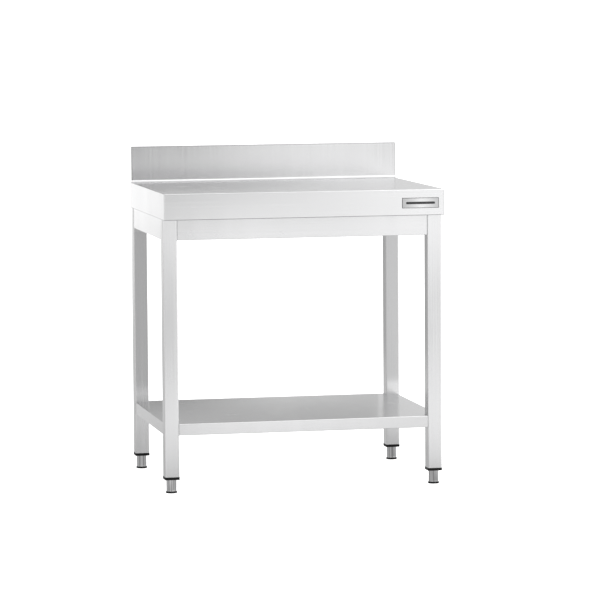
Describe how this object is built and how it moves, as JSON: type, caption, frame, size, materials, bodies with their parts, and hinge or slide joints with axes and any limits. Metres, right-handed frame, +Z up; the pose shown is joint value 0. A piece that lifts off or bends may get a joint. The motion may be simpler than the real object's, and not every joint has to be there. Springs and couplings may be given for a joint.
{
  "type": "work table",
  "caption": "Stainless work table with a coved rear upstand, folded front and side faces, notched lower shelf, square tube legs and screw-in levelling feet.",
  "frame": {"origin": "on the floor, under the middle of the worktop", "axes": "+X to the right-hand end, +Y to the back (the upstand side), +Z up; the open front faces -Y"},
  "size_m": [0.8, 0.6013, 0.947],
  "materials": {
    "stainless_steel": "fine brushed, satin",
    "black_plastic": "moulded, matt",
    "fastener_steel": "plain stainless fasteners",
    "board": "sealed particle board",
    "badge": "brushed plate with a dark rim"
  },
  "bodies": {
    "table": {"apron_front": "stainless_steel", "apron_left": "stainless_steel", "apron_rear": "stainless_steel", "apron_right": "stainless_steel", "badge_plate": "badge", "frame_bolt_fl_end_lower": "fastener_steel", "frame_bolt_fl_end_upper": "fastener_steel", "frame_bolt_fl_side_lower": "fastener_steel", "frame_bolt_fl_side_upper": "fastener_steel", "frame_bolt_fr_end_lower": "fastener_steel", "frame_bolt_fr_end_upper": "fastener_steel", "frame_bolt_fr_side_lower": "fastener_steel", "frame_bolt_fr_side_upper": "fastener_steel", "frame_bolt_rl_end_lower": "fastener_steel", "frame_bolt_rl_end_upper": "fastener_steel", "frame_bolt_rl_side_lower": "fastener_steel", "frame_bolt_rl_side_upper": "fastener_steel", "frame_bolt_rr_end_lower": "fastener_steel", "frame_bolt_rr_end_upper": "fastener_steel", "frame_bolt_rr_side_lower": "fastener_steel", "frame_bolt_rr_side_upper": "fastener_steel", "leg_cap_front_left": "black_plastic", "leg_cap_front_right": "black_plastic", "leg_cap_rear_left": "black_plastic", "leg_cap_rear_right": "black_plastic", "leg_front_left": "stainless_steel", "leg_front_right": "stainless_steel", "leg_rear_left": "stainless_steel", "leg_rear_right": "stainless_steel", "shelf": "stainless_steel", "shelf_bolt_fl_end": "fastener_steel", "shelf_bolt_fl_side": "fastener_steel", "shelf_bolt_fr_end": "fastener_steel", "shelf_bolt_fr_side": "fastener_steel", "shelf_bolt_rl_end": "fastener_steel", "shelf_bolt_rl_side": "fastener_steel", "shelf_bolt_rr_end": "fastener_steel", "shelf_bolt_rr_side": "fastener_steel", "shelf_stiffener": "stainless_steel", "top_screw_front": "fastener_steel", "top_screw_left": "fastener_steel", "top_screw_rear": "fastener_steel", "top_screw_right": "fastener_steel", "underlay_board": "board", "worktop": "stainless_steel"},
    "glide_front_left": {"foot_pad_front_left": "black_plastic"},
    "foot_front_left": {"foot_sleeve_front_left": "stainless_steel", "foot_spindle_front_left": "fastener_steel"},
    "glide_front_right": {"foot_pad_front_right": "black_plastic"},
    "foot_front_right": {"foot_sleeve_front_right": "stainless_steel", "foot_spindle_front_right": "fastener_steel"},
    "glide_rear_left": {"foot_pad_rear_left": "black_plastic"},
    "foot_rear_left": {"foot_sleeve_rear_left": "stainless_steel", "foot_spindle_rear_left": "fastener_steel"},
    "glide_rear_right": {"foot_pad_rear_right": "black_plastic"},
    "foot_rear_right": {"foot_sleeve_rear_right": "stainless_steel", "foot_spindle_rear_right": "fastener_steel"}
  },
  "joints": [
    {"name": "foot_lift_front_left", "type": "slide", "parent": "table", "child": "glide_front_left", "axis": [0, 0, 1], "range_m": [-0.02, 0.025]},
    {"name": "foot_turn_front_left", "type": "hinge", "parent": "glide_front_left", "child": "foot_front_left", "pos_m": [-0.3785, -0.248, 0], "axis": [0, 0, 1], "range_deg": [-4800.5, 6000.5]},
    {"name": "foot_lift_front_right", "type": "slide", "parent": "table", "child": "glide_front_right", "axis": [0, 0, 1], "range_m": [-0.02, 0.025]},
    {"name": "foot_turn_front_right", "type": "hinge", "parent": "glide_front_right", "child": "foot_front_right", "pos_m": [0.3785, -0.248, 0], "axis": [0, 0, 1], "range_deg": [-4800.5, 6000.5]},
    {"name": "foot_lift_rear_left", "type": "slide", "parent": "table", "child": "glide_rear_left", "axis": [0, 0, 1], "range_m": [-0.02, 0.025]},
    {"name": "foot_turn_rear_left", "type": "hinge", "parent": "glide_rear_left", "child": "foot_rear_left", "pos_m": [-0.3785, 0.27, 0], "axis": [0, 0, 1], "range_deg": [-4800.5, 6000.5]},
    {"name": "foot_lift_rear_right", "type": "slide", "parent": "table", "child": "glide_rear_right", "axis": [0, 0, 1], "range_m": [-0.02, 0.025]},
    {"name": "foot_turn_rear_right", "type": "hinge", "parent": "glide_rear_right", "child": "foot_rear_right", "pos_m": [0.3785, 0.27, 0], "axis": [0, 0, 1], "range_deg": [-4800.5, 6000.5]}
  ],
  "couplings": [
    {"joint": "foot_turn_front_left", "follows": "foot_lift_front_left", "rad_per_m": 4188.8},
    {"joint": "foot_turn_front_right", "follows": "foot_lift_front_right", "rad_per_m": 4188.8},
    {"joint": "foot_turn_rear_left", "follows": "foot_lift_rear_left", "rad_per_m": 4188.8},
    {"joint": "foot_turn_rear_right", "follows": "foot_lift_rear_right", "rad_per_m": 4188.8}
  ]
}
